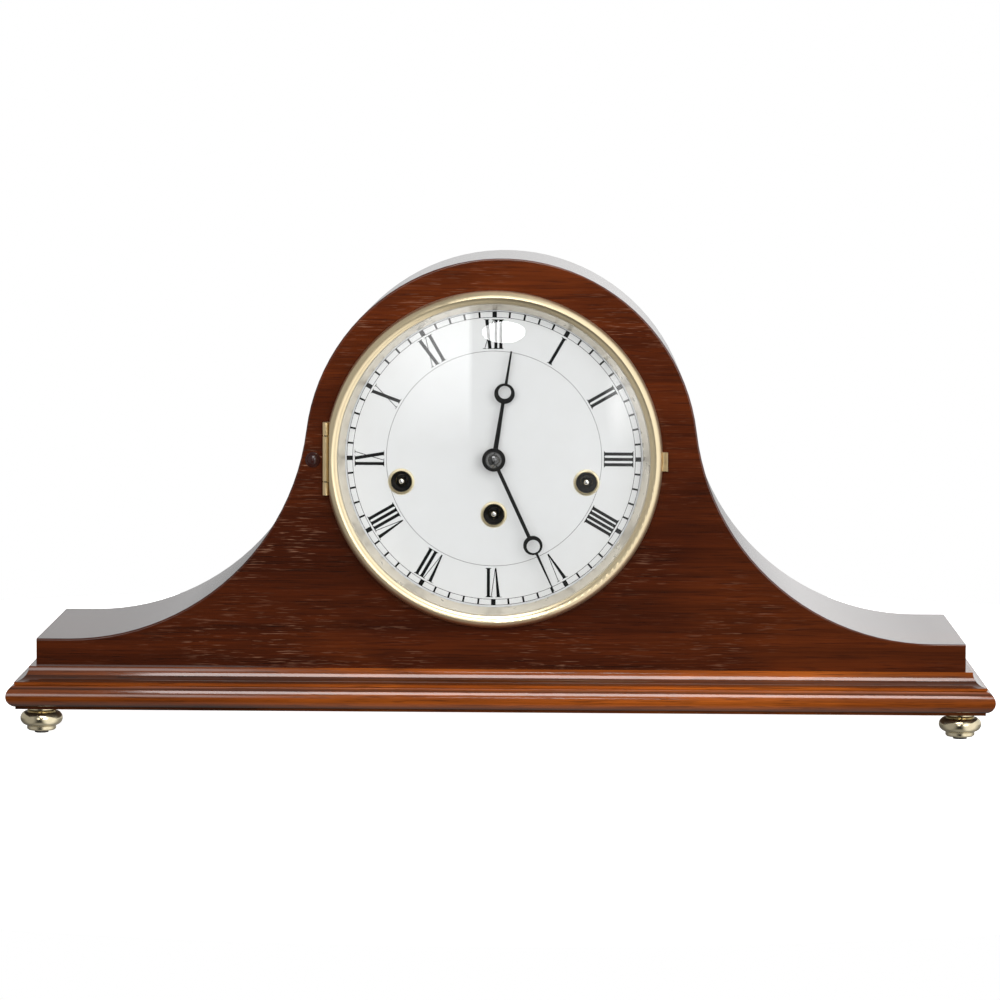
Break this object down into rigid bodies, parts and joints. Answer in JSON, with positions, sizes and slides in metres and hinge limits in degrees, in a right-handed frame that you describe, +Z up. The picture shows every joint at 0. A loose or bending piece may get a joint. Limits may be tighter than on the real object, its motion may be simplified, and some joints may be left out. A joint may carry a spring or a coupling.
{
  "type": "mantel clock",
  "caption": "Tambour mantel clock with a hinged brass bezel, Roman dial, key-wound three-train chiming movement, bun feet and a slotted back door.",
  "frame": {"origin": "centre of the base's footprint, on the surface that the foot pads stand on", "axes": "+X to the right along the case's width as seen from the front, +Y towards the back, +Z up; the dial faces -Y"},
  "size_m": [0.44, 0.1334, 0.2132],
  "materials": {
    "front_veneer": "gloss lacquered red-brown veneer",
    "case_wood": "gloss lacquered veneer",
    "moulding_wood": "gloss lacquered moulding",
    "plain_wood": "satin stained wood",
    "polished_brass": "polished",
    "satin_brass": "satin",
    "movement_brass": "brushed",
    "hammer_brass": "turned",
    "bronze_rod": "drawn",
    "steel": "turned and brushed",
    "black_iron": "black paint on a casting",
    "dark_plastic": "glossy",
    "pad_rubber": "matt",
    "silvered_dial": "satin silvered",
    "sight_ring": "satin ivory",
    "clear_glass": "clear",
    "black_hands": "satin black",
    "sound_cloth": "fine weave"
  },
  "bodies": {
    "case": {"front_panel": "front_veneer", "case_shell": "case_wood", "base_board": "plain_wood", "base_moulding_front": "moulding_wood", "base_moulding_left": "moulding_wood", "base_moulding_right": "moulding_wood", "front_feet": "satin_brass", "rear_feet": "satin_brass", "foot_pads": "pad_rubber", "case_screws": "steel", "back_frame": "plain_wood", "bezel_bumper": "dark_plastic", "bezel_hinge_case_leaf": "satin_brass", "bezel_hinge_pin": "satin_brass", "dial_plate": "silvered_dial", "winding_grommets": "polished_brass", "movement_front_plate": "movement_brass", "movement_rear_plate": "movement_brass", "plate_pillars": "steel", "pillar_nuts": "steel", "movement_brackets": "steel", "balance_bridge": "movement_brass", "chime_rod_block": "black_iron", "chime_rods": "bronze_rod", "hammer_arbor": "steel", "door_hinge_frame_leaves": "satin_brass", "door_hinge_pins": "satin_brass"},
    "bezel_door": {"bezel_ring": "polished_brass", "bezel_glass": "clear_glass", "bezel_sight_ring": "sight_ring", "bezel_pull_tab": "satin_brass", "bezel_hinge_door_leaf": "satin_brass"},
    "rear_door": {"back_door": "plain_wood", "door_cloth": "sound_cloth", "door_knob": "polished_brass", "door_hinge_door_leaves": "satin_brass"},
    "minute_train": {"centre_arbor": "steel", "centre_wheel": "movement_brass", "minute_hand": "black_hands", "hand_nut": "black_hands"},
    "motion_wheel": {"minute_wheel": "movement_brass"},
    "hour_train": {"hour_wheel": "movement_brass", "hour_hand": "black_hands"},
    "intermediate": {"intermediate_wheel": "movement_brass"},
    "third": {"third_wheel": "movement_brass"},
    "escape": {"escape_wheel": "steel"},
    "balance": {"balance_wheel": "movement_brass"},
    "strike_drum": {"strike_barrel": "movement_brass"},
    "strike_winder": {"strike_winding_arbor": "steel"},
    "strike_click": {"strike_ratchet_click": "steel"},
    "time_drum": {"time_barrel": "movement_brass"},
    "time_winder": {"time_winding_arbor": "steel"},
    "time_click": {"time_ratchet_click": "steel"},
    "chime_drum": {"chime_barrel": "movement_brass"},
    "chime_winder": {"chime_winding_arbor": "steel"},
    "chime_click": {"chime_ratchet_click": "steel"},
    "hammer_1_lever": {"hammer_1": "hammer_brass"},
    "hammer_2_lever": {"hammer_2": "hammer_brass"},
    "hammer_3_lever": {"hammer_3": "hammer_brass"},
    "hammer_4_lever": {"hammer_4": "hammer_brass"}
  },
  "joints": [
    {"name": "bezel_hinge", "type": "hinge", "parent": "case", "child": "bezel_door", "pos_m": [-0.07805, -0.05615, 0.1239], "axis": [0, 0, -1], "range_deg": [0, 105]},
    {"name": "rear_door_hinge", "type": "hinge", "parent": "case", "child": "rear_door", "pos_m": [0.0546, 0.06335, 0.075], "axis": [0, 0, -1], "range_deg": [0, 110]},
    {"name": "minute_turn", "type": "hinge", "parent": "case", "child": "minute_train", "pos_m": [-0.0033, -0.02425, 0.1239], "axis": [0, 1, 0], "continuous": true},
    {"name": "motion_wheel_turn", "type": "hinge", "parent": "case", "child": "motion_wheel", "pos_m": [-0.01348, -0.04225, 0.13408], "axis": [0, 1, 0], "continuous": true},
    {"name": "hour_turn", "type": "hinge", "parent": "case", "child": "hour_train", "pos_m": [-0.0033, -0.04925, 0.1239], "axis": [0, 1, 0], "continuous": true},
    {"name": "intermediate_turn", "type": "hinge", "parent": "case", "child": "intermediate", "pos_m": [0.01175, -0.02425, 0.11643], "axis": [0, 1, 0], "continuous": true},
    {"name": "third_turn", "type": "hinge", "parent": "case", "child": "third", "pos_m": [0.0051, -0.02425, 0.13845], "axis": [0, 1, 0], "continuous": true},
    {"name": "escape_turn", "type": "hinge", "parent": "case", "child": "escape", "pos_m": [0.01694, -0.02425, 0.14276], "axis": [0, 1, 0], "continuous": true},
    {"name": "strike_drum_turn", "type": "hinge", "parent": "case", "child": "strike_drum", "pos_m": [-0.0446, -0.02425, 0.1134], "axis": [0, 1, 0], "continuous": true},
    {"name": "time_drum_turn", "type": "hinge", "parent": "case", "child": "time_drum", "pos_m": [-0.0033, -0.02425, 0.0989], "axis": [0, 1, 0], "continuous": true},
    {"name": "chime_drum_turn", "type": "hinge", "parent": "case", "child": "chime_drum", "pos_m": [0.038, -0.02425, 0.1134], "axis": [0, 1, 0], "continuous": true},
    {"name": "strike_winding", "type": "hinge", "parent": "case", "child": "strike_winder", "pos_m": [-0.0446, -0.02425, 0.1134], "axis": [0, 1, 0], "continuous": true},
    {"name": "time_winding", "type": "hinge", "parent": "case", "child": "time_winder", "pos_m": [-0.0033, -0.02425, 0.0989], "axis": [0, 1, 0], "continuous": true},
    {"name": "chime_winding", "type": "hinge", "parent": "case", "child": "chime_winder", "pos_m": [0.038, -0.02425, 0.1134], "axis": [0, 1, 0], "continuous": true},
    {"name": "strike_click_lift", "type": "hinge", "parent": "case", "child": "strike_click", "pos_m": [-0.0526, -0.00685, 0.1264], "axis": [0, -1, 0], "range_deg": [0, 10], "stiffness_Nm_per_rad": 0.004},
    {"name": "time_click_lift", "type": "hinge", "parent": "case", "child": "time_click", "pos_m": [-0.0113, -0.00685, 0.1119], "axis": [0, -1, 0], "range_deg": [0, 10], "stiffness_Nm_per_rad": 0.004},
    {"name": "chime_click_lift", "type": "hinge", "parent": "case", "child": "chime_click", "pos_m": [0.03, -0.00685, 0.1264], "axis": [0, -1, 0], "range_deg": [0, 10], "stiffness_Nm_per_rad": 0.004},
    {"name": "balance_swing", "type": "hinge", "parent": "case", "child": "balance", "pos_m": [0.0307, -0.00425, 0.1459], "axis": [0, 1, 0], "range_deg": [-135, 135], "stiffness_Nm_per_rad": 0.0001},
    {"name": "hammer_1_lift", "type": "hinge", "parent": "case", "child": "hammer_1_lever", "pos_m": [-0.0153, -0.03385, 0.0749], "axis": [0, 1, 0], "range_deg": [-1.5, 14], "stiffness_Nm_per_rad": 0.05},
    {"name": "hammer_2_lift", "type": "hinge", "parent": "case", "child": "hammer_2_lever", "pos_m": [-0.0153, -0.02825, 0.0749], "axis": [0, 1, 0], "range_deg": [-1.5, 14], "stiffness_Nm_per_rad": 0.05},
    {"name": "hammer_3_lift", "type": "hinge", "parent": "case", "child": "hammer_3_lever", "pos_m": [-0.0153, -0.02265, 0.0749], "axis": [0, 1, 0], "range_deg": [-1.5, 14], "stiffness_Nm_per_rad": 0.05},
    {"name": "hammer_4_lift", "type": "hinge", "parent": "case", "child": "hammer_4_lever", "pos_m": [-0.0153, -0.01705, 0.0749], "axis": [0, 1, 0], "range_deg": [-1.5, 14], "stiffness_Nm_per_rad": 0.05}
  ],
  "couplings": [
    {"joint": "motion_wheel_turn", "follows": "minute_turn", "ratio": -0.33333},
    {"joint": "hour_turn", "follows": "minute_turn", "ratio": 0.083333},
    {"joint": "intermediate_turn", "follows": "minute_turn", "ratio": -0.16667},
    {"joint": "time_drum_turn", "follows": "minute_turn", "ratio": 0.027778},
    {"joint": "third_turn", "follows": "minute_turn", "ratio": -6},
    {"joint": "escape_turn", "follows": "minute_turn", "ratio": 30}
  ]
}
